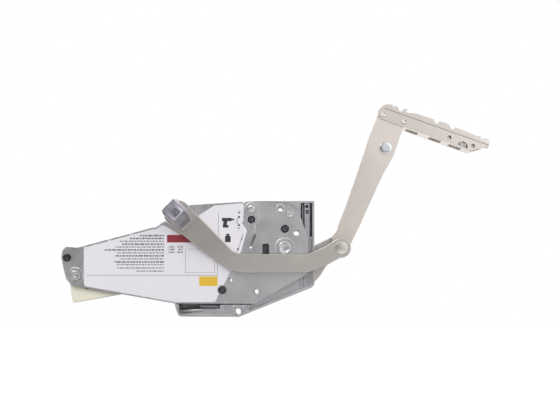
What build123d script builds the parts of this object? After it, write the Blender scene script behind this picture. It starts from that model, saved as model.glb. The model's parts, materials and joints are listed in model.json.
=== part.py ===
"""Lift-up door mechanism for one side of a cabinet, as separate solids. Millimetres.

X runs to the cabinet's front, Z up, and Y = 0 is the cabinet side that the housing is screwed to.
The mechanism stands out to -Y, so a depth below means a distance from the cabinet side.
"""

import os
from math import atan2, cos, degrees, hypot, radians, sin

from build123d import *

os.makedirs("parts", exist_ok=True)

# Pivots of the linkage, as (X, Z)
ARM_PIVOT = (-122.0, 19.0)
LEVER_PIVOT = (-12.0, -15.8)
KNEE = (45.8, -15.8)
HEAD_PIVOT = (91.7, 86.8)
SPRING_PIVOT = (-227.7, -44.2)

# Fixing points and small holes, as (X, Z)
REAR_SCREW = (-236.3, -25.8)
LOW_SCREW = (-76.4, -59.2)
FRONT_SCREW = (-12.05, 3.9)
FRONT_HOLE = (0.0, 0.0)
LOWER_HOLE = (-60.5, -81.5)
RING_HOLE = (-16.7, 24.6)
SMALL_HOLE = (-68.1, -48.9)
MIDDLE_HOLE = (-41.5, -60.8)
ADJUSTER = (-46.45, 13.3)
ADJUSTER_RIVET = (-46.45, 24.8)
COVER_RIVET = (-6.6, 19.3)

# Depths and thicknesses
BACK = 2.5
WALL = 2.2
CAVITY = 25.5
COVER_DEPTH = BACK + CAVITY
COVER = 2.0
FACE_DEPTH = COVER_DEPTH + COVER
LABEL = 0.25
CHEEK = 2.5
LEVER_DEPTH = BACK + 3.5
LEVER_WIDTH = 14.0
ARM_GAP = 1.5
ARM_DEPTH = FACE_DEPTH + ARM_GAP
ARM = 4.0
KNEE_GAP = 0.5
RAIL_ARM = 2.0
RAIL_ARM_DEPTH = ARM_DEPTH - KNEE_GAP - RAIL_ARM
RAIL_WEB = 1.6
HOOK = 1.8
SOCKET_DEPTH = ARM_DEPTH + ARM
SOCKET_LENGTH = 29.5
SOCKET_MOUTH = SOCKET_DEPTH + SOCKET_LENGTH

STRIP_DEPTH = COVER_DEPTH - 2.5
RECESS_DEPTH = COVER_DEPTH - 3.0
LEVER_WAY = LEVER_DEPTH + LEVER_WIDTH + 1.6
TRAY_DEPTH = COVER_DEPTH - 2.0
PLATE_DEPTH = COVER_DEPTH - 6.0
PLATE = 1.4

# Round sizes
RUN = 0.05
LOBE_RADIUS = 13.9
AXLE_RADIUS = 8.0
BUSH_RADIUS = 10.5
PIN_RADIUS = 3.5
SLEEVE_RADIUS = 4.6
HUB_RADIUS = 12.0
HEAD_PIN_RADIUS = 4.0
FIXING_RADIUS = 3.0
LOWER_RADIUS = 3.4
SCREW_RADIUS = 2.2
SCREW_HEAD = 4.0
SECTOR_RADIUS = 46.5
ROD_SQUARE = 14.4
RAIL_HOLE = 2.05

# Spring set, in its own axes: u along the thrust line, v across it
CRANK_RADIUS = 20.0
CRANK_ANGLE = -5.0
ROLLER_RADIUS = 6.0
CRANK_PIN = 2.5
SPRING_RADIUS = 8.0
SPRING_WIRE = 2.2
SPRING_V = (10.4, -6.2)
SPRING_DEPTH = BACK + CAVITY / 2
CARRIER_START = 8.0
CARRIER_END = 150.0
CARRIER_SKIN = 2.0
CARRIER_TOP = SPRING_V[0] + SPRING_RADIUS + 0.5 + CARRIER_SKIN
CARRIER_LOW = SPRING_V[1] - SPRING_RADIUS - 0.4 - CARRIER_SKIN
CROSSHEAD_U = CARRIER_END - 6.0
CROSSHEAD = 4.0
GUIDE_RADIUS = 4.4
GUIDE_LENGTH = 95.0
CARRIER_DEPTH = BACK + 1.5
CARRIER_WIDTH = CAVITY - 4.0
CONTACT_GAP = 0.4

# Door rail, in its own axes: s along the fold, t up across it
RAIL_START = (90.4, 128.1)
RAIL_TILT = -19.6
RAIL_LENGTH = 114.1
RAIL_HEIGHT = 12.0
RAIL_SHELF = 20.0
RAIL_RIVETS = ((0.8, -7.0), (23.6, -6.8))
RAIL_HOLES = ((72.9, -6.5), (98.5, -6.5))
CAM_PLACE = (88.6, -11.2)
CAM_PIVOT = (88.6, -5.5)
END_CUT = 98.0
CAM_RADIUS = 5.5


def crank_place():
    """Return the crank pin's place on the lever."""
    turn = radians(CRANK_ANGLE)
    return (LEVER_PIVOT[0] + CRANK_RADIUS * cos(turn), LEVER_PIVOT[1] + CRANK_RADIUS * sin(turn))


CRANK = crank_place()
THRUST = hypot(CRANK[0] - SPRING_PIVOT[0], CRANK[1] - SPRING_PIVOT[1])
THRUST_TILT = degrees(atan2(CRANK[1] - SPRING_PIVOT[1], CRANK[0] - SPRING_PIVOT[0]))


def wall(depth):
    """Return the plane at a depth from the cabinet side, seen from the front."""
    return Plane.XZ.offset(depth)


def turned(place, tilt, depth):
    """Return a plane at a depth with its first axis tilted and its origin at a place."""
    turn = radians(tilt)
    return Plane(
        origin=(place[0], -depth, place[1]),
        x_dir=(cos(turn), 0, sin(turn)),
        z_dir=(0, -1, 0),
    )


def spring_plane(depth):
    """Return the plane of the spring set at a depth."""
    return turned(SPRING_PIVOT, THRUST_TILT, depth)


def rail_plane(depth):
    """Return the plane of the door rail at a depth."""
    return turned(RAIL_START, RAIL_TILT, depth)


def outline(points, plane, rounding=0.0):
    """Return a closed flat shape through points, its corners rounded if asked."""
    with BuildSketch(plane) as flat:
        with BuildLine():
            Polyline(*points, close=True)
        make_face()
        if rounding:
            fillet(flat.vertices(), rounding)
    return flat.sketch


def discs(places, radius, plane):
    """Return round flat shapes at the places."""
    with BuildSketch(plane) as flat:
        with Locations(*places):
            Circle(radius)
    return flat.sketch


def post(place, radius, near, far, mode=Mode.ADD):
    """Add a round post, or cut a round hole, between two depths."""
    extrude(discs([place], radius, wall(near)), amount=far - near, mode=mode)


def bore(place, radius, near, far):
    """Cut a round hole between two depths."""
    post(place, radius, near, far, Mode.SUBTRACT)


def slab(points, near, far, mode=Mode.ADD, rounding=0.0):
    """Add a plate, or cut an opening, of the given outline between two depths."""
    extrude(outline(points, wall(near), rounding), amount=far - near, mode=mode)


def around(centre, radius, start, stop, steps):
    """Return points on an arc about a centre, in degrees."""
    span = stop - start
    turns = [radians(start + span * step / steps) for step in range(steps + 1)]
    return [(centre[0] + radius * cos(turn), centre[1] + radius * sin(turn)) for turn in turns]


def finish(part, name):
    """Name a sub-part and write its STEP file."""
    part.part.label = name
    export_step(part.part, f"parts/{name}.step")


# Housing outline, clockwise from the top right corner
HOUSING_EDGE = [
    (18.3, 32.6), (-51.0, 32.3), (-54.5, 30.5), (-56.0, 31.9), (-111.3, 28.3), (-118.0, 30.0),
    (-134.0, 12.0), (-137.8, 10.9), (-144.9, 5.6), (-147.4, 5.6), (-219.3, -13.6), (-226.0, -15.3),
    (-232.4, -14.6), (-237.8, -14.6), (-241.2, -18.5), (-242.3, -25.4), (-239.8, -38.3),
    (-237.3, -48.1), (-232.4, -53.6), (-219.6, -56.4), (-125.6, -73.0), (-124.8, -76.9),
    (-122.5, -84.0), (-119.9, -86.4), (-59.1, -86.7), (15.0, -56.9), (18.3, -53.8),
]

# Cover's own edge where it stops short of the housing
COVER_EDGE = [
    (-21.4, 31.6), (-10.1, 29.6), (-3.7, 27.1), (1.8, 21.7), (3.7, 17.7), (11.7, -6.6),
    (11.7, -41.4), (8.8, -44.5), (-42.4, -73.4), (-125.6, -73.0),
]


def housing_shape(depth, inset=0.0):
    """Return the housing's outline with the round lobe about the arm pivot."""
    with BuildSketch(wall(depth)) as flat:
        with BuildLine():
            Polyline(*HOUSING_EDGE, close=True)
        make_face()
        with Locations(ARM_PIVOT):
            Circle(LOBE_RADIUS)
        if inset:
            offset(amount=-inset, kind=Kind.INTERSECTION)
    return flat.sketch


def cover_shape(depth, grow=0.0):
    """Return the cover's outline."""
    with BuildSketch(wall(depth)) as flat:
        with BuildLine():
            Polyline(*(COVER_EDGE + HOUSING_TOP), close=True)
        make_face()
        with Locations(ARM_PIVOT):
            Circle(LOBE_RADIUS)
        if grow:
            offset(amount=grow, kind=Kind.INTERSECTION)
    return flat.sketch


COVER_NOTCHES = ((-218.4, -13.4), (-193.6, -6.7), (-170.0, -0.4))

# The stretch that cover and housing share, from the lower left round to the top
HOUSING_TOP = HOUSING_EDGE[19:0:-1]

# Lever's outline at rest, from the hub up to the head pivot and back along the belly
SHOULDER = 28.3
LEVER_EDGE = (
    [(-6.0, -5.0), (3.0, -8.2), (9.0, -6.9)]
    + around(LEVER_PIVOT, SHOULDER, 18.0, 0.0, 4)
    + [(19.4, -16.4), (19.6, -12.6), (22.7, -10.9), (36.9, -4.0), (47.0, 2.0), (57.5, 28.0)]
    + [(69.5, 60.0), (83.0, 90.0), (100.0, 82.0), (86.5, 57.0), (72.0, 27.0), (62.0, 5.0)]
    + [(53.5, -11.0), (49.0, -21.0), (36.0, -28.5)]
    + around(LEVER_PIVOT, SECTOR_RADIUS, -26.0, -64.0, 8)
    + [(-4.5, -26.0)]
)
ELBOW = (39.0, -15.5)
SHANK_SPACER = (73.0, 52.0)


with BuildPart() as housing_base:
    extrude(housing_shape(0), amount=FACE_DEPTH)
    extrude(housing_shape(BACK, WALL), amount=FACE_DEPTH - BACK, mode=Mode.SUBTRACT)
    # Bosses, then the solid block at the bottom and the tray beside it
    post(ARM_PIVOT, LOBE_RADIUS - 1.0, 0, COVER_DEPTH)
    for place, radius in (
        (REAR_SCREW, 5.5), (LOW_SCREW, 6.0), (FRONT_SCREW, 5.5), (FRONT_HOLE, 5.0),
        (RING_HOLE, 4.4), (SMALL_HOLE, 3.4), (COVER_RIVET, 4.5),
    ):
        post(place, radius, 0, COVER_DEPTH)
    post(ADJUSTER_RIVET, 4.5, 0, PLATE_DEPTH)
    post(LOWER_HOLE, 7.4, 0, FACE_DEPTH)
    slab([(-77.7, -86.0), (-60.0, -86.0), (-60.0, -74.2), (-77.7, -74.2)], 0, FACE_DEPTH - 0.8)
    slab([(-61.0, -86.0), (-52.0, -86.0), (-46.0, -74.2), (-61.0, -74.2)], LEVER_WAY, FACE_DEPTH - 0.8)
    slab([(-78.8, -86.0), (-77.3, -86.0), (-77.3, -74.2), (-78.8, -74.2)], 0, FACE_DEPTH)
    slab([(-124.0, -85.5), (-120.9, -85.5), (-120.9, -73.9), (-124.0, -73.9)], 0, FACE_DEPTH)
    # Rest under the damper's rod, and the solid lip in front of it
    slab([(-121.2, -78.9), (-78.6, -78.1), (-78.6, -78.8), (-121.2, -84.2)], 0, TRAY_DEPTH)
    slab([(-121.2, -83.9), (-78.6, -78.4), (-78.6, -86.6), (-121.2, -86.6)], 0, FACE_DEPTH - 0.8)
    # Face beside the cover's round corner, then the web in front of the lever with its two ribs
    slab([(-22.0, 31.5), (4.5, 31.5), (4.5, 14.0), (-22.0, 14.0)], COVER_DEPTH - 3.0, FACE_DEPTH)
    web = [
        (16.8, -5.0), (16.8, -53.0), (14.4, -56.0), (-50.0, -81.6), (-50.0, -73.0), (6.0, -42.5),
        (9.5, -38.0), (9.5, -5.0),
    ]
    slab(web, LEVER_WAY, RECESS_DEPTH)
    for left in (3.8, 7.2):
        slab([(left, -55.0), (left + 0.9, -55.0), (left + 0.9, -46.0), (left, -46.0)],
             RECESS_DEPTH, RECESS_DEPTH + 0.8)
    # Recess rib and the ledges under the stiffener
    slab([(5.8, 8.0), (6.9, 8.0), (6.9, 31.0), (5.8, 31.0)], 0, COVER_DEPTH - 4.0)
    slab([(7.6, -6.2), (16.8, -6.2), (16.8, -4.0), (7.6, -4.0)], COVER_DEPTH - 7.0, STRIP_DEPTH)
    slab([(7.6, 28.4), (14.3, 28.4), (14.3, 31.0), (7.6, 31.0)], 0, STRIP_DEPTH - 4.0)
    # Everything so far stays inside the outline, then the cover gets its seat
    extrude(housing_shape(0), amount=FACE_DEPTH, mode=Mode.INTERSECT)
    extrude(cover_shape(COVER_DEPTH, 0.15), amount=COVER + 1, mode=Mode.SUBTRACT)
    # Ways out for the lever and for the spring carrier
    slab(
        [(13.6, -10.5), (30.0, -10.5), (30.0, -80.0), (-53.0, -100.0), (-53.0, -79.5), (10.0, -53.8)],
        LEVER_DEPTH - 2.0, LEVER_WAY, Mode.SUBTRACT,
    )
    slab([(-250.0, -46.0), (-233.0, -46.0), (-212.0, -52.0), (-150.0, -63.0), (-150.0, -80.0),
          (-250.0, -80.0)], CARRIER_DEPTH - 0.8, COVER_DEPTH - 1.7, Mode.SUBTRACT)
    # Holes
    bore(ARM_PIVOT, BUSH_RADIUS, 0, FACE_DEPTH)
    bore(LEVER_PIVOT, PIN_RADIUS, 0, BACK)
    bore(SPRING_PIVOT, FIXING_RADIUS, 0, BACK)
    for place, radius in (
        (REAR_SCREW, SCREW_RADIUS), (LOW_SCREW, SCREW_RADIUS), (FRONT_SCREW, SCREW_RADIUS),
        (FRONT_HOLE, FIXING_RADIUS), (RING_HOLE, 2.7), (SMALL_HOLE, 1.8), (MIDDLE_HOLE, 2.4),
        (LOWER_HOLE, LOWER_RADIUS), (COVER_RIVET, 1.8), (ADJUSTER_RIVET, 1.8),
    ):
        bore(place, radius, 0, FACE_DEPTH + 1)
    # See-through window behind the force scale
    slab([(-50.5, -17.5), (-45.5, -19.0), (-39.5, -1.5), (-44.5, 0.0)], 0, BACK, Mode.SUBTRACT)
finish(housing_base, "housing_base")


with BuildPart() as cover_plate:
    extrude(cover_shape(COVER_DEPTH), amount=COVER)
    post(SPRING_PIVOT, 8.3, FACE_DEPTH, FACE_DEPTH + 0.9)
    post(LEVER_PIVOT, 10.3, FACE_DEPTH, FACE_DEPTH + 0.5)
    post(RING_HOLE, 4.4, FACE_DEPTH, FACE_DEPTH + 0.6)
    with BuildSketch(wall(FACE_DEPTH)) as boss:
        with Locations((-45.75, 19.25)):
            RectangleRounded(15.3, 23.9, 7.6)
    extrude(boss.sketch, amount=0.9)
    bore(ARM_PIVOT, BUSH_RADIUS, 0, FACE_DEPTH)
    for place, radius in (
        (SPRING_PIVOT, FIXING_RADIUS), (LEVER_PIVOT, PIN_RADIUS), (REAR_SCREW, SCREW_RADIUS),
        (LOW_SCREW, SCREW_RADIUS), (FRONT_SCREW, SCREW_RADIUS), (FRONT_HOLE, FIXING_RADIUS),
        (RING_HOLE, 2.7), (SMALL_HOLE, 1.8), (MIDDLE_HOLE, 2.4), (COVER_RIVET, 1.8), (ADJUSTER_RIVET, 1.8),
        (ADJUSTER, 4.05 + RUN),
    ):
        bore(place, radius, COVER_DEPTH, FACE_DEPTH + 1)
    for place in (REAR_SCREW, LOW_SCREW, FRONT_SCREW):
        bore(place, SCREW_HEAD + 0.2, COVER_DEPTH + 0.6, FACE_DEPTH + 1)
    # Notches along the top edge
    for place in COVER_NOTCHES:
        notch = [(-1.6, -1.2), (1.6, -1.2), (1.6, 1.5), (-1.6, 1.5)]
        extrude(outline(notch, turned(place, 15.0, COVER_DEPTH)), amount=COVER, mode=Mode.SUBTRACT)
    # Dark slot beside the lever pivot, and the slanted window of the force scale
    slot = [(-35.2, -28.0), (-28.3, -28.0), (-28.3, -11.5), (-35.2, -11.5)]
    extrude(outline(slot, wall(COVER_DEPTH), 1.5), amount=COVER, mode=Mode.SUBTRACT)
    with BuildSketch(turned((-45.25, -8.95), 70.0, COVER_DEPTH)) as window:
        SlotCenterToCenter(12.0, 3.0)
    extrude(window.sketch, amount=COVER, mode=Mode.SUBTRACT)
finish(cover_plate, "cover_plate")


# Sticker, in two pieces either side of the arm
LABEL_LEFT = [
    (-219.0, -15.6), (-147.4, 3.6), (-144.9, 3.4), (-138.0, 8.0), (-133.0, 5.5), (-100.6, -14.0),
    (-67.4, -38.9), (-84.0, -71.6), (-125.0, -71.6), (-217.5, -55.2), (-219.0, -52.0),
]
LABEL_RIGHT = [
    (-106.5, 16.5), (-100.6, 17.6), (-84.2, 28.0), (-56.0, 30.2), (-54.2, 28.1), (-54.7, 11.8),
    (-56.5, 10.1), (-50.9, 2.3), (-56.9, -19.0), (-63.0, -30.0), (-90.0, -14.0),
]


with BuildPart() as label_sheet:
    slab(LABEL_LEFT, FACE_DEPTH, FACE_DEPTH + LABEL)
    slab(LABEL_RIGHT, FACE_DEPTH, FACE_DEPTH + LABEL)
    slab([(-100.6, -14.0), (-90.0, -14.0), (-63.0, -30.0), (-67.4, -38.9)], FACE_DEPTH, FACE_DEPTH + LABEL)
    slab([(-103.0, 16.0), (-92.0, 16.0), (-86.0, -15.0), (-96.0, -17.0)], FACE_DEPTH, FACE_DEPTH + LABEL)
    bore(ARM_PIVOT, LOBE_RADIUS + 1.0, FACE_DEPTH, FACE_DEPTH + LABEL)
    bore(LOW_SCREW, SCREW_HEAD + 1.2, FACE_DEPTH, FACE_DEPTH + LABEL)
    bore(SMALL_HOLE, 2.6, FACE_DEPTH, FACE_DEPTH + LABEL)
finish(label_sheet, "label_sheet")


with BuildPart() as front_stiffener:
    front = STRIP_DEPTH + 1.8
    slab([(8.4, -5.6), (13.5, -5.6), (13.5, 30.3), (8.4, 30.3)], STRIP_DEPTH, front)
    slab([(8.4, 28.6), (13.5, 28.6), (13.5, 30.3), (8.4, 30.3)], STRIP_DEPTH - 4.0, STRIP_DEPTH)
    bore((10.9, 27.1), 1.9, STRIP_DEPTH, front)
    slab([(9.4, 19.6), (12.7, 19.6), (12.7, 23.5), (9.4, 23.5)], STRIP_DEPTH, front, Mode.SUBTRACT)
finish(front_stiffener, "front_stiffener")


def headed_pin(place, radius, near, far, head, height):
    """Add a pin with a low domed head at its front end."""
    post(place, radius, near, far)
    post(place, head, far, far + height)
    fillet(faces().sort_by(Axis.Y)[0].edges(), min(height * 0.7, 1.2))


with BuildPart() as spring_pivot_rivet:
    headed_pin(SPRING_PIVOT, FIXING_RADIUS, 0.3, FACE_DEPTH + 0.9, 5.0, 1.4)
finish(spring_pivot_rivet, "spring_pivot_rivet")

with BuildPart() as lever_pivot_pin:
    headed_pin(LEVER_PIVOT, PIN_RADIUS, 0.3, FACE_DEPTH + 0.5, 6.7, 2.2)
finish(lever_pivot_pin, "lever_pivot_pin")

with BuildPart() as cover_rivet:
    headed_pin(COVER_RIVET, 1.8, 0.3, FACE_DEPTH, 3.9, 1.3)
finish(cover_rivet, "cover_rivet")

with BuildPart() as adjuster_rivet:
    headed_pin(ADJUSTER_RIVET, 1.8, 0.3, FACE_DEPTH + 0.9, 5.8, 1.2)
finish(adjuster_rivet, "adjuster_rivet")

with BuildPart() as arm_pivot_bush:
    post(ARM_PIVOT, BUSH_RADIUS, 2.6, FACE_DEPTH)
    post(ARM_PIVOT, 12.4, FACE_DEPTH, ARM_DEPTH - 0.3)
    bore(ARM_PIVOT, AXLE_RADIUS + RUN, 0, ARM_DEPTH)
finish(arm_pivot_bush, "arm_pivot_bush")


def cross_recess(place, depth):
    """Cut a cross recess into a screw head that faces the front."""
    for tilt in (20.0, 110.0):
        with BuildSketch(turned(place, tilt, depth - 1.6)) as cross:
            Rectangle(4.6, 1.0)
        extrude(cross.sketch, amount=2.0, mode=Mode.SUBTRACT)


for screw_name, screw_place in (
    ("rear_screw", REAR_SCREW), ("low_screw", LOW_SCREW), ("front_screw", FRONT_SCREW),
):
    with BuildPart() as fixing_screw:
        post(screw_place, SCREW_RADIUS, 0.4, COVER_DEPTH + 0.6)
        post(screw_place, SCREW_HEAD, COVER_DEPTH + 0.6, FACE_DEPTH + 0.6)
        fillet(faces().sort_by(Axis.Y)[0].edges(), 0.5)
        cross_recess(screw_place, FACE_DEPTH + 0.6)
    finish(fixing_screw, screw_name)


# Damper's rod lying in the lower tray, rounded at its free end
DAMPER_RADIUS = 1.7
DAMPER_TILT = -1.2
DAMPER_LENGTH = 19.0
DAMPER_START = (-79.5 - DAMPER_LENGTH, -75.8)
DAMPER_DEPTH = TRAY_DEPTH - 2.0

with BuildPart() as damper_cylinder:
    damper_axis = Plane(
        origin=(DAMPER_START[0], -DAMPER_DEPTH, DAMPER_START[1]),
        x_dir=(0, 1, 0),
        z_dir=(cos(radians(DAMPER_TILT)), 0, sin(radians(DAMPER_TILT))),
    )
    with BuildSketch(damper_axis):
        Circle(DAMPER_RADIUS)
    extrude(amount=DAMPER_LENGTH)
    with Locations((DAMPER_START[0], -DAMPER_DEPTH, DAMPER_START[1])):
        Sphere(DAMPER_RADIUS)
finish(damper_cylinder, "damper_cylinder")


# Force adjuster: a turning screw with a crank pin that moves a pointer along its window
SCALE_TILT = 70.0
ADJUSTER_CRANK = 6.0
ADJUSTER_START = -45.0
DISC_DEPTH = PLATE_DEPTH + PLATE + 0.1
DISC = 1.8


def adjuster_plane(depth):
    """Return a plane at the adjuster with its first axis along the pointer's way."""
    return turned(ADJUSTER, SCALE_TILT, depth)


CRANK_ALONG = ADJUSTER_CRANK * sin(radians(ADJUSTER_START))
CRANK_ACROSS = -ADJUSTER_CRANK * cos(radians(ADJUSTER_START))

with BuildPart() as adjuster_plate:
    with BuildSketch(wall(PLATE_DEPTH)) as base:
        with Locations(ADJUSTER):
            Circle(7.6)
        with Locations(ADJUSTER_RIVET):
            Circle(4.5)
        with Locations((-46.45, 19.0)):
            Rectangle(9.0, 11.5)
    extrude(base.sketch, amount=PLATE)
    post(ADJUSTER_RIVET, 4.0, PLATE_DEPTH + PLATE, COVER_DEPTH)
    bore(ADJUSTER, 2.0 + RUN, PLATE_DEPTH, PLATE_DEPTH + PLATE)
    bore(ADJUSTER_RIVET, 1.8, PLATE_DEPTH, COVER_DEPTH)
finish(adjuster_plate, "adjuster_plate")

with BuildPart() as force_screw:
    post(ADJUSTER, 2.0, PLATE_DEPTH, DISC_DEPTH)
    post(ADJUSTER, 7.3, DISC_DEPTH, DISC_DEPTH + DISC)
    post(ADJUSTER, 4.05, DISC_DEPTH + DISC, FACE_DEPTH + 0.3)
    with BuildSketch(adjuster_plane(DISC_DEPTH + DISC)) as crank_pin_base:
        with Locations((CRANK_ALONG, CRANK_ACROSS)):
            Circle(1.1)
    extrude(crank_pin_base.sketch, amount=2.0)
    cross_recess(ADJUSTER, FACE_DEPTH + 0.3)
finish(force_screw, "force_screw")

POINTER_ACROSS = -8.72

with BuildPart() as force_slider:
    with BuildSketch(adjuster_plane(DISC_DEPTH + DISC + 0.3)) as bar:
        with Locations((-14.2, POINTER_ACROSS)):
            Rectangle(23.4, 3.2)
        with Locations((CRANK_ALONG, POINTER_ACROSS + 2.9)):
            Rectangle(7.6, 3.0)
        with Locations((CRANK_ALONG, -5.8)):
            Rectangle(3.0, 3.4, mode=Mode.SUBTRACT)
    extrude(bar.sketch, amount=2.1)
    with BuildSketch(adjuster_plane(COVER_DEPTH - 1.0)) as tip:
        with Locations((-24.6, POINTER_ACROSS)):
            Rectangle(3.0, 2.0)
    extrude(tip.sketch, amount=2.6)
finish(force_slider, "force_slider")


# Spring set
with BuildPart() as spring_carrier:
    near, far = CARRIER_DEPTH, CARRIER_DEPTH + CARRIER_WIDTH
    start, end, low, top = CARRIER_START, CARRIER_END, CARRIER_LOW, CARRIER_TOP
    floor = [(start, low), (end, low), (end, top), (start, top)]
    extrude(outline(floor, spring_plane(near)), amount=2.4)
    for edge in (low, top - CARRIER_SKIN):
        rail = [(start, edge), (end, edge), (end, edge + CARRIER_SKIN), (start, edge + CARRIER_SKIN)]
        extrude(outline(rail, spring_plane(near)), amount=CARRIER_WIDTH)
    block = [
        (-7.5, -10.0), (-7.5, 9.0), (2.5, 11.0), (3.5, top), (start, top), (start, low),
        (start + 62.0, low), (45.7, -24.1), (-6.6, -27.4), (-7.4, -20.0),
    ]
    extrude(outline(block, spring_plane(near)), amount=CARRIER_WIDTH)
    bore(SPRING_PIVOT, FIXING_RADIUS + RUN, near, far)
finish(spring_carrier, "spring_carrier")

for spring_name, spring_v in (("upper_spring", SPRING_V[0]), ("lower_spring", SPRING_V[1])):
    with BuildPart() as spring:
        start = spring_plane(SPRING_DEPTH).from_local_coords(Vector(CARRIER_START + 0.3, spring_v, 0))
        along = spring_plane(SPRING_DEPTH).x_dir
        with BuildSketch(Plane(origin=start, x_dir=(0, 1, 0), z_dir=along)):
            Circle(SPRING_RADIUS)
            Circle(SPRING_RADIUS - SPRING_WIRE, mode=Mode.SUBTRACT)
        extrude(amount=CROSSHEAD_U - CARRIER_START - 0.6)
    finish(spring, spring_name)

with BuildPart() as thrust_slider:
    low, top = CARRIER_LOW + CARRIER_SKIN + 0.3, CARRIER_TOP - CARRIER_SKIN - 0.3
    head = [(CROSSHEAD_U, low), (CROSSHEAD_U + CROSSHEAD, low), (CROSSHEAD_U + CROSSHEAD, top),
            (CROSSHEAD_U, top)]
    extrude(outline(head, spring_plane(SPRING_DEPTH - SPRING_RADIUS - 0.45)), amount=2 * SPRING_RADIUS + 1.5)
    push = THRUST - ROLLER_RADIUS - CONTACT_GAP
    bar_edge = [(CROSSHEAD_U + 1, -9.0), (push, -9.0), (push, -1.1), (CROSSHEAD_U + 1, -1.1)]
    extrude(outline(bar_edge, spring_plane(LEVER_DEPTH + CHEEK + 1.1)), amount=LEVER_WIDTH - 2 * CHEEK - 2.2)
finish(thrust_slider, "thrust_slider")

for guide_name, guide_v in (("upper_guide", SPRING_V[0]), ("lower_guide", SPRING_V[1])):
    with BuildPart() as guide:
        tip_u = CROSSHEAD_U - GUIDE_LENGTH
        start = spring_plane(SPRING_DEPTH).from_local_coords(Vector(tip_u, guide_v, 0))
        along = spring_plane(SPRING_DEPTH).x_dir
        with BuildSketch(Plane(origin=start, x_dir=(0, 1, 0), z_dir=along)):
            Circle(GUIDE_RADIUS)
        extrude(amount=GUIDE_LENGTH)
        chamfer(faces().sort_by(Axis.X)[0].edges(), 1.2)
    finish(guide, guide_name)


# Control lever: two cheeks on a sleeve, spacers between them, and the crank pin with its roller
def cheek(near):
    """Add one cheek plate of the lever."""
    plane = wall(near)
    extrude(outline(LEVER_EDGE, plane), amount=CHEEK)
    for place, radius in ((LEVER_PIVOT, HUB_RADIUS), (HEAD_PIVOT, 9.0)):
        post(place, radius, near, near + CHEEK)
    for place, radius in (
        (LEVER_PIVOT, SLEEVE_RADIUS), (HEAD_PIVOT, HEAD_PIN_RADIUS + RUN), (CRANK, CRANK_PIN),
        (ELBOW, 2.5), (SHANK_SPACER, 2.5),
    ):
        bore(place, radius, near, near + CHEEK)


LEVER_FRONT = LEVER_DEPTH + LEVER_WIDTH
INNER_NEAR = LEVER_DEPTH + CHEEK
INNER_FAR = LEVER_FRONT - CHEEK

for cheek_name, cheek_depth in (("lever_cheek_back", LEVER_DEPTH), ("lever_cheek_front", INNER_FAR)):
    with BuildPart() as lever_cheek:
        cheek(cheek_depth)
    finish(lever_cheek, cheek_name)

with BuildPart() as lever_sleeve:
    post(LEVER_PIVOT, SLEEVE_RADIUS, LEVER_DEPTH - 0.6, LEVER_FRONT + 0.6)
    bore(LEVER_PIVOT, PIN_RADIUS + RUN, 0, FACE_DEPTH)
finish(lever_sleeve, "lever_sleeve")

with BuildPart() as crank_pin:
    post(CRANK, CRANK_PIN, LEVER_DEPTH - 0.6, LEVER_FRONT + 0.6)
finish(crank_pin, "crank_pin")

with BuildPart() as crank_roller:
    post(CRANK, ROLLER_RADIUS, INNER_NEAR + 0.4, INNER_FAR - 0.4)
    bore(CRANK, CRANK_PIN + RUN, INNER_NEAR, INNER_FAR)
finish(crank_roller, "crank_roller")

for spacer_name, spacer_place in (("elbow_spacer", ELBOW), ("shank_spacer", SHANK_SPACER)):
    with BuildPart() as spacer:
        post(spacer_place, 4.5, INNER_NEAR, INNER_FAR)
        post(spacer_place, 2.5, LEVER_DEPTH - 0.5, LEVER_FRONT + 0.5)
    finish(spacer, spacer_name)

with BuildPart() as head_spacer:
    post(HEAD_PIVOT, 6.5, INNER_NEAR, INNER_FAR)
    bore(HEAD_PIVOT, HEAD_PIN_RADIUS + RUN, INNER_NEAR, INNER_FAR)
finish(head_spacer, "head_spacer")


# Lift arm, from the main pivot to the knee
LIFT_ARM_EDGE = [
    (-113.0, 29.0), (-65.9, -19.3), (-57.2, -22.0), (10.2, -22.9), (27.0, -15.5), (41.6, -7.0),
    (51.5, -21.0), (45.1, -25.8), (28.9, -34.8), (11.4, -41.1), (-56.0, -41.4), (-67.2, -38.6),
    (-100.8, -15.6), (-129.0, 7.3),
]

with BuildPart() as lift_arm_bar:
    slab(LIFT_ARM_EDGE, ARM_DEPTH, SOCKET_DEPTH)
    post(ARM_PIVOT, LOBE_RADIUS, ARM_DEPTH, SOCKET_DEPTH)
    post(KNEE, 9.8, ARM_DEPTH, SOCKET_DEPTH)
    bore(ARM_PIVOT, 6.0, ARM_DEPTH, SOCKET_DEPTH)
    bore(KNEE, 4.0, ARM_DEPTH, SOCKET_DEPTH)
finish(lift_arm_bar, "lift_arm_bar")

SCREW_TIP = SOCKET_DEPTH - 23.5

with BuildPart() as arm_axle:
    post(ARM_PIVOT, AXLE_RADIUS, 2.0, ARM_DEPTH)
    post(ARM_PIVOT, 6.0, ARM_DEPTH, SOCKET_DEPTH)
    bore(ARM_PIVOT, 2.5, SCREW_TIP, SOCKET_DEPTH)
    post(ARM_PIVOT, 6.4, 0.4, 2.0)
finish(arm_axle, "arm_axle")

with BuildPart() as axle_clip:
    post(ARM_PIVOT, 9.9, 0.6, 1.8)
    bore(ARM_PIVOT, 6.4, 0.6, 1.8)
finish(axle_clip, "axle_clip")

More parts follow.
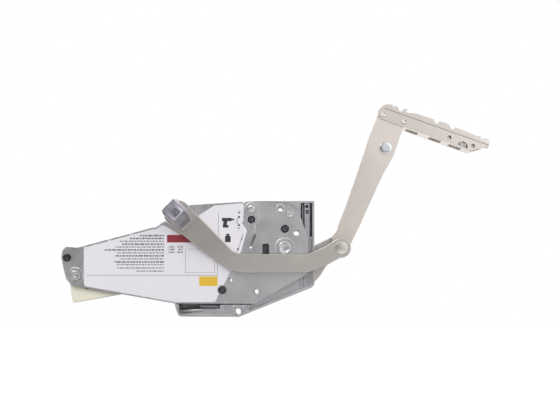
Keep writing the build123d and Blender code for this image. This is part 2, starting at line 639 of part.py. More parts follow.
# Socket for the cross rod, in its own axes: its foot on the arm, and its rim, whose lower right side is open
SOCKET_TILT = 46.0
SOCKET_POCKET = 10.0
SOCKET_FLOOR = SOCKET_MOUTH - SOCKET_POCKET
SOCKET_FOOT = [(-8.3, -15.9), (4.5, -17.1), (10.5, -6.0), (10.5, 10.5), (-10.5, 10.5), (-10.5, -6.0)]
SLOPE_START = -5.2
SLOPE_DROP = 15.0
SLOPE_RUN = 11.3
SOCKET_RIM = [(-8.4, -9.0), (8.3, -8.8), (8.4, -4.0), (8.0, 9.4), (-7.3, 9.6), (-9.6, 6.0)]
KEY_SQUARE = 5.8
KEY_FLOOR = SOCKET_FLOOR - 3.0


def socket_plane(depth):
    """Return the socket's plane at a depth."""
    return turned(ARM_PIVOT, SOCKET_TILT, depth)


with BuildPart() as rod_socket:
    foot = outline(SOCKET_FOOT, socket_plane(SOCKET_DEPTH))
    rim = outline(SOCKET_RIM, socket_plane(SOCKET_MOUTH))
    loft([foot, rim], ruled=True)
    half = ROD_SQUARE / 2
    pocket = [(-half, -14.0), (half, -14.0), (half, half + 0.3), (-half, half + 0.3)]
    extrude(outline(pocket, socket_plane(SOCKET_FLOOR)), amount=SOCKET_POCKET, mode=Mode.SUBTRACT)
    with BuildSketch(socket_plane(KEY_FLOOR)) as key:
        Rectangle(KEY_SQUARE, KEY_SQUARE)
    extrude(key.sketch, amount=SOCKET_FLOOR - KEY_FLOOR, mode=Mode.SUBTRACT)
    # The floor slopes down to the foot on the open side
    turn = radians(SOCKET_TILT)
    section = Plane(origin=(ARM_PIVOT[0], 0, ARM_PIVOT[1]), x_dir=(-sin(turn), 0, cos(turn)),
                    z_dir=(cos(turn), 0, sin(turn)))
    far_run = 2 * SLOPE_RUN
    slope = [(SLOPE_START, SOCKET_FLOOR), (SLOPE_START, SOCKET_MOUTH + 1),
             (SLOPE_START - far_run, SOCKET_MOUTH + 1),
             (SLOPE_START - far_run, SOCKET_FLOOR - 2 * SLOPE_DROP)]
    extrude(outline(slope, section), amount=half, both=True, mode=Mode.SUBTRACT)
    bore(ARM_PIVOT, 2.6, SOCKET_DEPTH, KEY_FLOOR)
finish(rod_socket, "rod_socket")

with BuildPart() as socket_screw:
    post(ARM_PIVOT, 2.5, SCREW_TIP + 0.5, KEY_FLOOR)
    post(ARM_PIVOT, 2.8, KEY_FLOOR, KEY_FLOOR + 1.8)
    cross_recess(ARM_PIVOT, KEY_FLOOR + 1.8)
finish(socket_screw, "socket_screw")

with BuildPart() as knee_rivet:
    headed_pin(KNEE, 4.0, ARM_DEPTH, SOCKET_DEPTH, 6.5, 0.8)
finish(knee_rivet, "knee_rivet")


# Upper arm that carries the door rail
FLANGE_DEPTH = LEVER_DEPTH + LEVER_WIDTH + 1.5
UPPER_ARM_EDGE = [
    (35.8, -13.0), (36.9, -3.0), (41.6, 2.2), (43.2, 8.0), (51.5, 29.8), (64.0, 65.9), (74.0, 97.1),
    (82.0, 117.0), (84.0, 124.0), (88.0, 128.0), (112.0, 119.6), (111.5, 110.6), (109.3, 105.9),
    (105.7, 97.1), (102.8, 87.3), (98.9, 77.1), (88.9, 59.7), (74.0, 27.3), (64.5, 5.7), (55.8, -11.5),
]
FLANGE_OUTER = [(105.7, 97.1), (102.8, 87.3), (98.9, 77.1), (88.9, 59.7), (74.0, 27.3), (64.5, 5.7)]


def strip_along(points, width):
    """Return the outline of a strip on the left of a run of points that goes down."""
    shifted = []
    for index, place in enumerate(points):
        before = points[max(index - 1, 0)]
        after = points[min(index + 1, len(points) - 1)]
        length = hypot(after[0] - before[0], after[1] - before[1])
        across = ((after[1] - before[1]) / length, -(after[0] - before[0]) / length)
        shifted.append((place[0] + width * across[0], place[1] + width * across[1]))
    return points + shifted[::-1]


with BuildPart() as upper_arm_plate:
    slab(UPPER_ARM_EDGE, RAIL_ARM_DEPTH, RAIL_ARM_DEPTH + RAIL_ARM)
    post(KNEE, 10.2, RAIL_ARM_DEPTH, RAIL_ARM_DEPTH + RAIL_ARM)
    slab(strip_along(FLANGE_OUTER, 1.8), FLANGE_DEPTH, RAIL_ARM_DEPTH + RAIL_ARM)
    bore(KNEE, 4.2, RAIL_ARM_DEPTH, RAIL_ARM_DEPTH + RAIL_ARM)
    bore(HEAD_PIVOT, HEAD_PIN_RADIUS, RAIL_ARM_DEPTH, RAIL_ARM_DEPTH + RAIL_ARM)
    for place in RAIL_RIVETS:
        extrude(discs([place], 1.8, rail_plane(RAIL_ARM_DEPTH)), amount=RAIL_ARM, mode=Mode.SUBTRACT)
finish(upper_arm_plate, "upper_arm_plate")

with BuildPart() as head_pivot_pin:
    headed_pin(HEAD_PIVOT, HEAD_PIN_RADIUS, LEVER_DEPTH - 0.7, RAIL_ARM_DEPTH + RAIL_ARM, 5.9, 2.4)
finish(head_pivot_pin, "head_pivot_pin")

with BuildPart() as head_collar:
    post(HEAD_PIVOT, 7.0, LEVER_FRONT + 0.3, RAIL_ARM_DEPTH)
    bore(HEAD_PIVOT, HEAD_PIN_RADIUS, LEVER_FRONT, RAIL_ARM_DEPTH)
finish(head_collar, "head_collar")

WEB_DEPTH = RAIL_ARM_DEPTH + RAIL_ARM
WEB_FACE = WEB_DEPTH + RAIL_WEB
HOOK_DEPTH = RAIL_ARM_DEPTH - HOOK
SHELF_START = 27.0
SHELF_SLOTS = ((29.0, 41.6), (54.2, 67.0), (75.6, 89.0))
SHELF_BACK = WEB_FACE - RAIL_SHELF

with BuildPart() as door_rail:
    web = [(-1.0, -RAIL_HEIGHT), (END_CUT, -RAIL_HEIGHT), (RAIL_LENGTH, -1.0),
           (RAIL_LENGTH, 0.0), (-1.0, 0.0), (-4.5, -3.0), (-4.5, -9.0)]
    extrude(outline(web, rail_plane(WEB_DEPTH)), amount=RAIL_WEB)
    shelf = [(SHELF_START, -RAIL_HEIGHT), (END_CUT, -RAIL_HEIGHT),
             (END_CUT, 1.6 - RAIL_HEIGHT), (SHELF_START, 1.6 - RAIL_HEIGHT)]
    extrude(outline(shelf, rail_plane(SHELF_BACK)), amount=RAIL_SHELF)
    # Lip along the shelf's back, then the slanted flange at the end with its slot
    lip = [(SHELF_START + 1.0, -RAIL_HEIGHT), (END_CUT, -RAIL_HEIGHT),
           (END_CUT, -3.0), (SHELF_START + 1.0, -3.0)]
    extrude(outline(lip, rail_plane(SHELF_BACK)), amount=RAIL_WEB)
    slant = [(END_CUT - 0.5, -RAIL_HEIGHT), (RAIL_LENGTH - 4.2, -3.7),
             (RAIL_LENGTH - 7.0, -3.7), (END_CUT - 1.2, -10.6)]
    extrude(outline(slant, rail_plane(SHELF_BACK)), amount=RAIL_SHELF)
    slant_slot = [(END_CUT + 2.5, -13.0), (RAIL_LENGTH - 4.0, -6.5),
                  (RAIL_LENGTH - 8.5, -3.0), (END_CUT, -8.0)]
    extrude(outline(slant_slot, rail_plane(SHELF_BACK + 5.0)), amount=9.0, mode=Mode.SUBTRACT)
    for left, right in SHELF_SLOTS:
        gap = [(left, -14.0), (right, -14.0), (right, -9.0), (left, -9.0)]
        extrude(outline(gap, rail_plane(SHELF_BACK + 3.5)), amount=12.0, mode=Mode.SUBTRACT)
    extrude(discs([CAM_PLACE], CAM_RADIUS, rail_plane(WEB_DEPTH)), amount=RAIL_WEB, mode=Mode.SUBTRACT)
    extrude(discs(RAIL_HOLES, RAIL_HOLE, rail_plane(WEB_DEPTH)), amount=RAIL_WEB, mode=Mode.SUBTRACT)
    extrude(discs(RAIL_RIVETS, 1.8, rail_plane(WEB_DEPTH)), amount=RAIL_WEB, mode=Mode.SUBTRACT)
finish(door_rail, "door_rail")

# Hook plate's upper edge, from its rounded left end to the hook at its right end
HOOK_EDGE = [
    (-4.5, -9.0), (-5.0, -3.7), (-2.2, 2.2), (0.7, 4.9), (7.0, 6.6), (8.2, 4.4), (9.0, 6.2), (13.6, 5.9),
    (15.1, 3.0), (18.0, 3.0), (19.6, 6.4), (23.2, 7.4), (22.1, 4.3), (24.5, 3.9), (32.0, 6.1),
    (52.2, 6.5), (54.8, 3.2), (57.0, 3.8), (58.0, 6.9), (67.9, 7.1), (72.2, 3.3), (74.7, 3.7),
    (75.8, 6.5), (94.9, 5.8), (99.7, 5.3), (103.0, 6.5), (104.2, 4.2), (106.4, 4.2), (107.6, 6.2),
    (114.6, 5.5), (114.1, -3.5), (40.0, -3.5), (28.0, -10.2), (-1.0, -10.6),
]

with BuildPart() as hook_plate:
    extrude(outline(HOOK_EDGE, rail_plane(HOOK_DEPTH)), amount=HOOK)
    cam_seat = [(62.0, -2.0), (62.0, -9.8), (97.5, -9.8), (105.5, -4.0), (105.5, -2.0)]
    extrude(outline(cam_seat, rail_plane(HOOK_DEPTH)), amount=HOOK)
    lift = [(34.0, -3.4), (70.0, -3.4), (70.0, 2.6), (34.0, 2.6)]
    extrude(outline(lift, rail_plane(RAIL_ARM_DEPTH)), amount=RAIL_ARM)
    tail = [(96.5, -3.4), (RAIL_LENGTH, -3.4), (RAIL_LENGTH, 2.6), (96.5, 2.6)]
    extrude(outline(tail, rail_plane(RAIL_ARM_DEPTH)), amount=RAIL_ARM)
    extrude(discs(RAIL_RIVETS, 1.8, rail_plane(HOOK_DEPTH)), amount=HOOK, mode=Mode.SUBTRACT)
    cam_bore = discs([CAM_PIVOT], 1.5 + RUN, rail_plane(HOOK_DEPTH))
    extrude(cam_bore, amount=HOOK, mode=Mode.SUBTRACT)
finish(hook_plate, "hook_plate")

for rivet_name, rivet_place in (("left_rail_rivet", RAIL_RIVETS[0]), ("right_rail_rivet", RAIL_RIVETS[1])):
    with BuildPart() as rail_rivet:
        extrude(discs([rivet_place], 1.8, rail_plane(HOOK_DEPTH - 0.6)), amount=WEB_FACE - HOOK_DEPTH + 0.6)
        extrude(discs([rivet_place], 3.1, rail_plane(WEB_FACE)), amount=0.9)
        fillet(faces().sort_by(Axis.Y)[0].edges(), 0.6)
        extrude(discs([rivet_place], 2.9, rail_plane(HOOK_DEPTH - 0.6)), amount=0.6)
    finish(rail_rivet, rivet_name)

with BuildPart() as height_cam:
    extrude(discs([CAM_PIVOT], 1.5, rail_plane(HOOK_DEPTH)), amount=HOOK + 0.5)
    extrude(discs([CAM_PIVOT], 4.8, rail_plane(RAIL_ARM_DEPTH + 0.2)), amount=RAIL_ARM - 0.4)
    with BuildSketch(rail_plane(RAIL_ARM_DEPTH + 0.9)) as cam_slot:
        with Locations(CAM_PIVOT):
            Rectangle(6.4, 1.1)
    extrude(cam_slot.sketch, amount=2.0, mode=Mode.SUBTRACT)
finish(height_cam, "height_cam")
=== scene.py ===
"""Looks of the lift-up door mechanism: finer shapes, materials, light and camera.

Lengths in the shape helpers are millimetres in the CAD frame, and a depth is the distance from the
cabinet side, towards -Y. They become metres where a mesh is made. Studio boards, lamps and the camera
are placed in metres.
"""

import json
from math import cos, pi, radians, sin

import bmesh
import bpy
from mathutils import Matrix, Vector


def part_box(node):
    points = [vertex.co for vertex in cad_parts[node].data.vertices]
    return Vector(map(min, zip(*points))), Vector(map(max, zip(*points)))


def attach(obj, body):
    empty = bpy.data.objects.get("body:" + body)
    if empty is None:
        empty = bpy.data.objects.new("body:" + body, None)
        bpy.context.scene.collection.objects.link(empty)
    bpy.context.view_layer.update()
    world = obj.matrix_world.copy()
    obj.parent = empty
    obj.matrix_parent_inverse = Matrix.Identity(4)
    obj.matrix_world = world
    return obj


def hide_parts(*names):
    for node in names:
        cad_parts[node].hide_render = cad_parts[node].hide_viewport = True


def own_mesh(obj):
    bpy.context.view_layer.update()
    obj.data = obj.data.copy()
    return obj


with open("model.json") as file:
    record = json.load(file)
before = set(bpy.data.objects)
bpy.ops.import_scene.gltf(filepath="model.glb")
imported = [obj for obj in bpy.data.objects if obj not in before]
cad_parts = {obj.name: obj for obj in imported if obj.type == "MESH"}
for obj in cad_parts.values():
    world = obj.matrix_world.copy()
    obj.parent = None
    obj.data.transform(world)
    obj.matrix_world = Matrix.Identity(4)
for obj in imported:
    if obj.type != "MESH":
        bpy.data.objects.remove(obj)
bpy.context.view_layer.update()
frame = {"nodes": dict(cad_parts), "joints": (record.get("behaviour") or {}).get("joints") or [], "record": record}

BODY = {}
for body_name, members in frame["record"]["behaviour"]["bodies"].items():
    for member in members:
        BODY[member] = body_name
SLOT = {part["node"]: part["material_slot"] for part in frame["record"]["subparts"]}
JOINT = {joint["name"]: joint for joint in frame["joints"]}

MM = 0.001
WHITE = (1.0, 1.0, 1.0, 1.0)
BLACK = (0.0, 0.0, 0.0, 1.0)


# Materials

# Nearly all of a noise lies between these two numbers
NOISE_SPAN = {"From Min": 0.3, "From Max": 0.7}
# In a mix of colours, input 0 is the share of the second colour, and 6 and 7 are the two colours
COLOUR_MIX = {"data_type": "RGBA", "out": 2}

# Widths in grains of the faint smears and of the low swells, and the swells' height in grain heights
SMEAR_GRAINS = 9
SWELL_GRAINS = 7
SWELL_RISE = 1.5
# Mottling of zinc in mm, drawn coarser than the real one so that it shows in the render
PEBBLE_WIDTH = 1.25
PEBBLE_RISE = 0.03
# Width in mm of the breaks in a rubbed edge and its painted glint
RAG_WIDTH = 1.6
# How the roughness strays: as a factor over the patches, and as a sum over the smears
PATCH_GLOSS = (0.88, 1.08)
SMEAR_GLOSS = 0.02


def linear(code):
    """Return a linear colour from an sRGB hex code."""
    parts = [int(code[i:i + 2], 16) / 255 for i in (1, 3, 5)]
    return tuple(c / 12.92 if c <= 0.04045 else ((c + 0.055) / 1.055) ** 2.4 for c in parts) + (1.0,)


def shaded(code, factor):
    """Return a linear colour from an sRGB hex code, made darker or lighter."""
    return tuple(min(c * factor, 1.0) for c in linear(code)[:3]) + (1.0,)


def add(tree, kind, inputs=None, out=0, **settings):
    """Add a shader node with its settings, link or fill its inputs, and return one output."""
    made = tree.nodes.new(f"ShaderNode{kind}")
    for name, value in settings.items():
        setattr(made, name, value)
    for name, value in (inputs or {}).items():
        if isinstance(value, bpy.types.NodeSocket):
            tree.links.new(value, made.inputs[name])
        else:
            made.inputs[name].default_value = value
    return made.outputs[out]


def blank(name, **constants):
    """Return a new material with its tree and shader, constants set on the shader."""
    made = bpy.data.materials.new(name)
    made.use_nodes = True
    shader = made.node_tree.nodes["Principled BSDF"]
    for key, value in constants.items():
        shader.inputs[key.replace("_", " ")].default_value = value
    return made, made.node_tree, shader


def wear_and_glint_edges(tree, width):
    """Return 1 on a sharp edge, which falls to 0 within about a width in mm.

    The edge shows by how far a normal smoothed over that width strays from the plain one.
    """
    rounded = add(tree, "Bevel", {"Radius": width * MM}, samples=4)
    plain = add(tree, "NewGeometry", out="Normal")
    likeness = add(tree, "VectorMath", {0: rounded, 1: plain}, out="Value", operation="DOT_PRODUCT")
    return add(tree, "MapRange", {
        "Value": likeness, "From Min": 0.99, "From Max": 0.8, "To Min": 0.0, "To Max": 1.0})


def surface(name, code, roughness, patch, vary, grain, rise, lay=(1, 1, 1), rub_and_glint=None, rub_and_glint_width=0.5,
            pebble=None, **constants):
    """Make a finish from an sRGB colour, a roughness and sizes in mm.

    patch is the width of its soft patches, and vary how far their tone strays. grain and rise are the
    width and height of its fine grain, drawn out along the axes where lay is under 1. rub_and_glint is
    the colour of its rubbed edges, which on the black screws also stand in as painted glints,
    rub_and_glint_width wide, and pebble the strength of a coarser mottling.
    """
    made, tree, shader = blank(name, **constants)
    place = add(tree, "TexCoord", out="Object")
    laid = add(tree, "Mapping", {"Vector": place, "Scale": lay})
    patches = add(tree, "TexNoise", {
        "Vector": place, "Scale": 1 / (patch * MM), "Detail": 4.0, "Roughness": 0.55})
    fine = add(tree, "TexNoise", {"Vector": laid, "Scale": 1 / (grain * MM), "Detail": 2.0})
    smears = add(tree, "TexNoise", {
        "Vector": laid, "Scale": 1 / (SMEAR_GRAINS * grain * MM), "Detail": 3.0})
    swells = add(tree, "TexNoise", {
        "Vector": laid, "Scale": 1 / (SWELL_GRAINS * grain * MM), "Detail": 2.0})

    tone = add(tree, "MapRange", {"Value": patches, **NOISE_SPAN})
    fleck = add(tree, "MapRange", {"Value": fine, **NOISE_SPAN, "To Max": 0.5})
    base = add(tree, "Mix", {0: tone, 6: shaded(code, 1 - vary), 7: shaded(code, 1 + vary)}, **COLOUR_MIX)
    base = add(tree, "Mix", {0: fleck, 6: base, 7: shaded(code, 1 - 1.5 * vary)}, **COLOUR_MIX)
    if pebble:
        spots = add(tree, "TexNoise", {
            "Vector": place, "Scale": 1 / (PEBBLE_WIDTH * MM), "Detail": 1.0})
        spots = add(tree, "MapRange", {"Value": spots, **NOISE_SPAN})
        pale = add(tree, "Mix", {0: pebble, 6: base, 7: WHITE}, **COLOUR_MIX)
        dull = add(tree, "Mix", {0: pebble, 6: base, 7: linear("#303034")}, **COLOUR_MIX)
        base = add(tree, "Mix", {0: spots, 6: dull, 7: pale}, **COLOUR_MIX)
    # Lighter along sharp edges: rubbed wear, and on the black screws painted glints
    if rub_and_glint:
        rags = add(tree, "TexNoise", {"Vector": place, "Scale": 1 / (RAG_WIDTH * MM), "Detail": 3.0})
        rags = add(tree, "MapRange", {"Value": rags, **NOISE_SPAN, "To Min": 0.25})
        rub_and_glint_mask = add(tree, "Math", {
            0: wear_and_glint_edges(tree, rub_and_glint_width), 1: rags}, operation="MULTIPLY", use_clamp=True)
        base = add(tree, "Mix", {0: rub_and_glint_mask, 6: base, 7: linear(rub_and_glint)}, **COLOUR_MIX)

    gloss = add(tree, "MapRange", {
        "Value": patches, **NOISE_SPAN,
        "To Min": roughness * PATCH_GLOSS[0], "To Max": roughness * PATCH_GLOSS[1]})
    smear = add(tree, "MapRange", {
        "Value": smears, **NOISE_SPAN, "To Min": -SMEAR_GLOSS, "To Max": SMEAR_GLOSS})
    rough = add(tree, "Math", {0: gloss, 1: smear}, operation="ADD")

    relief = add(tree, "Bump", {
        "Height": swells, "Strength": 0.2, "Distance": SWELL_RISE * rise * MM})
    if pebble:
        relief = add(tree, "Bump", {
            "Height": spots, "Strength": 0.5, "Distance": PEBBLE_RISE * MM, "Normal": relief})
    relief = add(tree, "Bump", {
        "Height": fine, "Strength": 0.6, "Distance": rise * MM, "Normal": relief})
    for socket, value in (("Base Color", base), ("Roughness", rough), ("Normal", relief)):
        tree.links.new(value, shader.inputs[socket])
    return made


MATERIALS = {
    # A soft grey sheen over a mottled cast skin, with edges rubbed bright in the tumbler
    "zinc_casting": surface(
        "Die-cast zinc, tumbled", "#B4B2B6", 0.42, patch=22, vary=0.07, grain=0.55, rise=0.03,
        rub_and_glint="#E4E4E8", pebble=0.15, Metallic=1.0),
    # An even, slightly brighter grey with a fine mottling, and light lines along its pressed edges
    "zinc_sheet": surface(
        "Steel sheet, satin zinc plate", "#BFBEC1", 0.38, patch=26, vary=0.05, grain=0.5, rise=0.018,
        rub_and_glint="#EFEFF2", rub_and_glint_width=0.8, pebble=0.16, Metallic=1.0),
    # A warm grey whose grain is drawn out along the bar, so that its shine runs in soft bands
    "nickel_steel": surface(
        "Steel bar, satin nickel plate", "#D0CAC4", 0.33, patch=60, vary=0.04, grain=0.35, rise=0.008,
        lay=(0.35, 1, 1), rub_and_glint="#EDE8E2", rub_and_glint_width=0.4, Metallic=1.0),
    # The same warm plate on pressed steel, smooth and nearly even
    "pale_steel": surface(
        "Pressed steel, satin nickel plate", "#D2CBC5", 0.34, patch=50, vary=0.035, grain=0.35,
        rise=0.008, rub_and_glint="#F2EEEA", rub_and_glint_width=0.35, Metallic=1.0),
    # Turned and bright, so it shows the light and dark of the room
    "bright_steel": surface(
        "Turned steel, bright nickel plate", "#D2D6DC", 0.2, patch=9, vary=0.04, grain=0.25,
        rise=0.004, rub_and_glint="#F4F6F8", rub_and_glint_width=0.3, Metallic=1.0),
    # Dark wire with an uneven wet gloss
    "spring_steel": surface(
        "Spring wire, oiled", "#6E6E72", 0.3, patch=6, vary=0.14, grain=0.3, rise=0.006,
        rub_and_glint="#9A9A9E", Metallic=1.0),
    # Creamy and a little translucent, with the dull skin that glass fibre leaves
    "nylon_cream": surface(
        "Glass-filled nylon, moulded", "#E2DFCD", 0.5, patch=14, vary=0.03, grain=0.4, rise=0.012,
        Subsurface_Weight=0.12, Subsurface_Radius=(0.002, 0.0016, 0.001)),
    # A plain grey with a waxy half gloss
    "nylon_grey": surface(
        "Acetal, moulded grey", "#8E8E92", 0.42, patch=10, vary=0.05, grain=0.4, rise=0.01),
    # Smoother and glossier than the housing, with broad light edges
    "socket_zinc": surface(
        "Die-cast zinc, barrelled smooth", "#BCB9C2", 0.33, patch=12, vary=0.06, grain=0.7, rise=0.02,
        rub_and_glint="#E8E6EE", rub_and_glint_width=0.7, Metallic=1.0),
    # Nearly black, with painted glints on the recess edges, partly bright metal where a driver has rubbed them
    "black_steel": surface(
        "Steel, black oxide", "#4A4A4E", 0.3, patch=3, vary=0.2, grain=0.3, rise=0.008,
        rub_and_glint="#D0D0D4", rub_and_glint_width=0.9, Metallic=1.0),
    # Flat white film under a thin satin varnish
    "label_film": surface(
        "Polyester label, satin varnish", "#E0DDE2", 0.36, patch=40, vary=0.012, grain=0.9,
        rise=0.004, Coat_Weight=0.15, Coat_Roughness=0.3),
}
# Painted light: the upper arm takes a paler copy of the pressed steel, for the brighter light its angle catches
PAINTED_LIGHT_TONES = {
    "upper_arm_plate": surface(
        "Pressed steel, nickel plate painted lighter", "#DED6CF", 0.34, patch=50, vary=0.035, grain=0.35,
        rise=0.008, rub_and_glint="#F4F0EC", rub_and_glint_width=0.35, Metallic=1.0),
}
# Matt ink, a little uneven where it is laid on
INKS = {
    "ink_grey": surface(
        "Label ink, grey", "#77777B", 0.5, patch=4, vary=0.12, grain=0.25, rise=0.002),
    "ink_dark": surface(
        "Label ink, black", "#2E2E31", 0.5, patch=4, vary=0.12, grain=0.25, rise=0.002),
    "ink_red": surface(
        "Label ink, dark red", "#8B2530", 0.48, patch=6, vary=0.06, grain=0.25, rise=0.002),
    "ink_yellow": surface(
        "Label ink, yellow", "#DDB530", 0.48, patch=6, vary=0.04, grain=0.25, rise=0.002),
}
# Painted shade: a dull dark brown that stands in for the shadow in the crevice along the rail's fold
PAINTED_SEAM_SHADE = surface(
    "Painted shade along the rail fold", "#5A534E", 0.7, patch=5, vary=0.15, grain=0.3, rise=0.004)


# Shapes

# Faces that meet at more than this many degrees have a sharp edge
SHARP_ANGLE = 32.0
# Points nearer than this, in metres, are one, and faces that meet at less than this angle are flat
SAME_POINT = 2e-6
FLAT_ANGLE = 0.4
TURNED_STEPS = 72
# A thin lay of ink or painted shade starts this far under its face and ends this far above it
LAY_SUNK = 0.02
LAY_PROUD = 0.03


def metres(x, depth, z):
    """Return a point in metres from millimetres and a depth."""
    return Vector((x * MM, -depth * MM, z * MM))


def centre_of(node):
    """Return the (X, Z) of the middle of a node."""
    low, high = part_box(node)
    return (low.x + high.x) / 2 / MM, (low.z + high.z) / 2 / MM


def front_of(node):
    """Return the depth of a node's front face."""
    return -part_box(node)[0].y / MM


def settle(name, shape, material, node=None, body="housing", smooth=SHARP_ANGLE):
    """Turn a bmesh into a piece that rides on a body, and stands for a CAD node if one is named."""
    bmesh.ops.recalc_face_normals(shape, faces=shape.faces[:])
    mesh = bpy.data.meshes.new(name)
    shape.to_mesh(mesh)
    shape.free()
    mesh.shade_smooth()
    mesh.set_sharp_from_angle(angle=radians(smooth))
    mesh.materials.append(material)
    piece = bpy.data.objects.new(name, mesh)
    bpy.context.scene.collection.objects.link(piece)
    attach(piece, BODY[node] if node else body)
    if node:
        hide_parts(node)
    return piece


# Where the lever and the spring carrier pass closely by the housing's inner edges, as lowest and
# highest corners, and the X beyond which the hook plate is narrow
CLOSE_WAYS = (
    ((-56, -24, -150), (32, -3.5, -8)),
    ((-300, -50, -150), (-100, 50, -50)),
)
NARROW_END = 195


def kept_sharp(node, edge):
    """Tell whether an edge stays sharp: a close inner one of the housing, or at the hook plate's end."""
    place = (edge.verts[0].co + edge.verts[1].co) / 2 / MM
    if node == "hook_plate":
        return place.x > NARROW_END
    if node != "housing_base" or edge.calc_face_angle_signed() > 0:
        return False
    return any(
        all(least < value < most for least, value, most in zip(low, place, high))
        for low, high in CLOSE_WAYS)


# Plates, castings and mouldings keep their CAD shape, with edges rounded to these widths in mm
EDGES = {
    "housing_base": 0.4, "cover_plate": 0.35, "front_stiffener": 0.25, "arm_pivot_bush": 0.3,
    "rear_screw": 0.15, "low_screw": 0.15, "front_screw": 0.15, "adjuster_plate": 0.2,
    "force_screw": 0.15, "force_slider": 0.2, "spring_carrier": 0.5, "thrust_slider": 0.5,
    "lever_cheek_back": 0.35, "lever_cheek_front": 0.35, "lift_arm_bar": 0.6, "rod_socket": 0.3,
    "socket_screw": 0.15, "upper_arm_plate": 0.3, "door_rail": 0.16, "hook_plate": 0.14,
    "head_collar": 0.2, "axle_clip": 0.15, "height_cam": 0.15, "arm_axle": 0.3, "lever_sleeve": 0.2,
    "crank_pin": 0.2, "crank_roller": 0.4, "elbow_spacer": 0.3, "shank_spacer": 0.3,
    "head_spacer": 0.3, "upper_guide": 0.3, "lower_guide": 0.3, "damper_cylinder": 0.2,
}
# Edges wider than this are rounded in three steps, the others in two
BROAD_EDGE = 0.5
# The socket keeps the faces of its CAD mesh, elsewhere those that lie flat are joined
FACES_KEPT = ("rod_socket",)


def softened(node, width):
    """Stand for a CAD node with its own shape, cleaned, with edges rounded to a width."""
    shape = bmesh.new()
    shape.from_mesh(frame["nodes"][node].data)
    bmesh.ops.remove_doubles(shape, verts=shape.verts[:], dist=SAME_POINT)
    if node not in FACES_KEPT:
        bmesh.ops.dissolve_limit(
            shape, angle_limit=radians(FLAT_ANGLE), verts=shape.verts[:], edges=shape.edges[:])
    weight = shape.edges.layers.float.new("bevel_weight_edge")
    for edge in shape.edges:
        if len(edge.link_faces) == 2 and abs(edge.calc_face_angle_signed()) > radians(SHARP_ANGLE):
            edge[weight] = 0.0 if kept_sharp(node, edge) else 1.0
    # The upper arm takes its paler copy, painted light; the other nodes take their slot's material
    piece = settle(f"{node}_form", shape, PAINTED_LIGHT_TONES.get(node, MATERIALS[SLOT[node]]), node)
    bevel = piece.modifiers.new("rounded edges", "BEVEL")
    bevel.width = width * MM
    bevel.segments = 3 if width > BROAD_EDGE else 2
    bevel.limit_method = "WEIGHT"
    bevel.use_clamp_overlap = False
    bevel.harden_normals = True


for node_name, edge_width in EDGES.items():
    softened(node_name, edge_width)


def turned(node, profile):
    """Stand for a rivet: turn a profile of (radius, depth) about its axis, both its ends on the axis."""
    x, z = centre_of(node)
    shape = bmesh.new()
    rings = []
    for radius, depth in profile:
        steps = TURNED_STEPS if radius else 1
        turns = [2 * pi * step / steps for step in range(steps)]
        rings.append([
            shape.verts.new(metres(x + radius * cos(turn), depth, z + radius * sin(turn)))
            for turn in turns])
    for lower, upper in zip(rings, rings[1:]):
        for step in range(TURNED_STEPS):
            after = (step + 1) % TURNED_STEPS
            corners = [lower[step % len(lower)], lower[after % len(lower)],
                       upper[after % len(upper)], upper[step % len(upper)]]
            shape.faces.new(list(dict.fromkeys(corners)))
    settle(f"{node}_turned", shape, MATERIALS[SLOT[node]], node)


# Rivets, each a pin with its own turned head, and both rail rivets alike
RAIL_RIVET = [
    (0, 26.6), (2.9, 26.6), (2.9, 27.2), (1.8, 27.2), (1.8, 32.6), (3.1, 32.62), (3.1, 33.1),
    (2.85, 33.4), (2.3, 33.5), (1.7, 33.38), (1.3, 33.15), (0, 33.1),
]
RIVETS = {
    "spring_pivot_rivet": [
        (0, 0.3), (3, 0.3), (3, 30.9), (5, 30.95), (5, 31.75), (4.8, 32.1), (4.35, 32.28), (3.2, 32.3),
        (2.5, 32.18), (1.6, 32.1), (1.25, 31.9), (0.85, 31.4), (0, 31.3)],
    "lever_pivot_pin": [
        (0, 0.3), (3.5, 0.3), (3.5, 30.5), (6.7, 30.55), (6.7, 31.8), (6.55, 32.3), (6.1, 32.6),
        (5.5, 32.7), (4.9, 32.6), (4.3, 32.2), (3.6, 31.85), (2.2, 31.7), (0, 31.65)],
    "cover_rivet": [
        (0, 0.3), (1.8, 0.3), (1.8, 30), (3.9, 30.02), (3.9, 30.75), (3.7, 31.1), (3.3, 31.25),
        (2.8, 31.15), (2.45, 30.85), (2.2, 30.85), (2.0, 31.15), (1.6, 31.3), (0, 31.3)],
    "adjuster_rivet": [
        (0, 0.3), (1.8, 0.3), (1.8, 30.9), (5.8, 30.95), (5.8, 31.3), (5.5, 31.6), (4.6, 31.7),
        (3.7, 31.6), (3.3, 31.65), (2.8, 31.9), (1.9, 32.05), (0, 32.1)],
    "head_pivot_pin": [
        (0, 5.3), (3.7, 5.3), (4, 5.6), (4, 31), (5.9, 31.02), (5.9, 32.8), (5.65, 33.2), (5.1, 33.38),
        (3.0, 33.4), (0, 33.4)],
    "knee_rivet": [
        (0, 31.5), (3.7, 31.5), (4, 31.8), (4, 35.5), (6.5, 35.52), (6.5, 35.85), (6.3, 36.15),
        (5.8, 36.3), (0, 36.3)],
    "left_rail_rivet": RAIL_RIVET,
    "right_rail_rivet": RAIL_RIVET,
}
for node_name, rivet_profile in RIVETS.items():
    turned(node_name, rivet_profile)


def block(left, right, low, high):
    """Return an upright rectangle's corners."""
    return [(left, low), (right, low), (right, high), (left, high)]


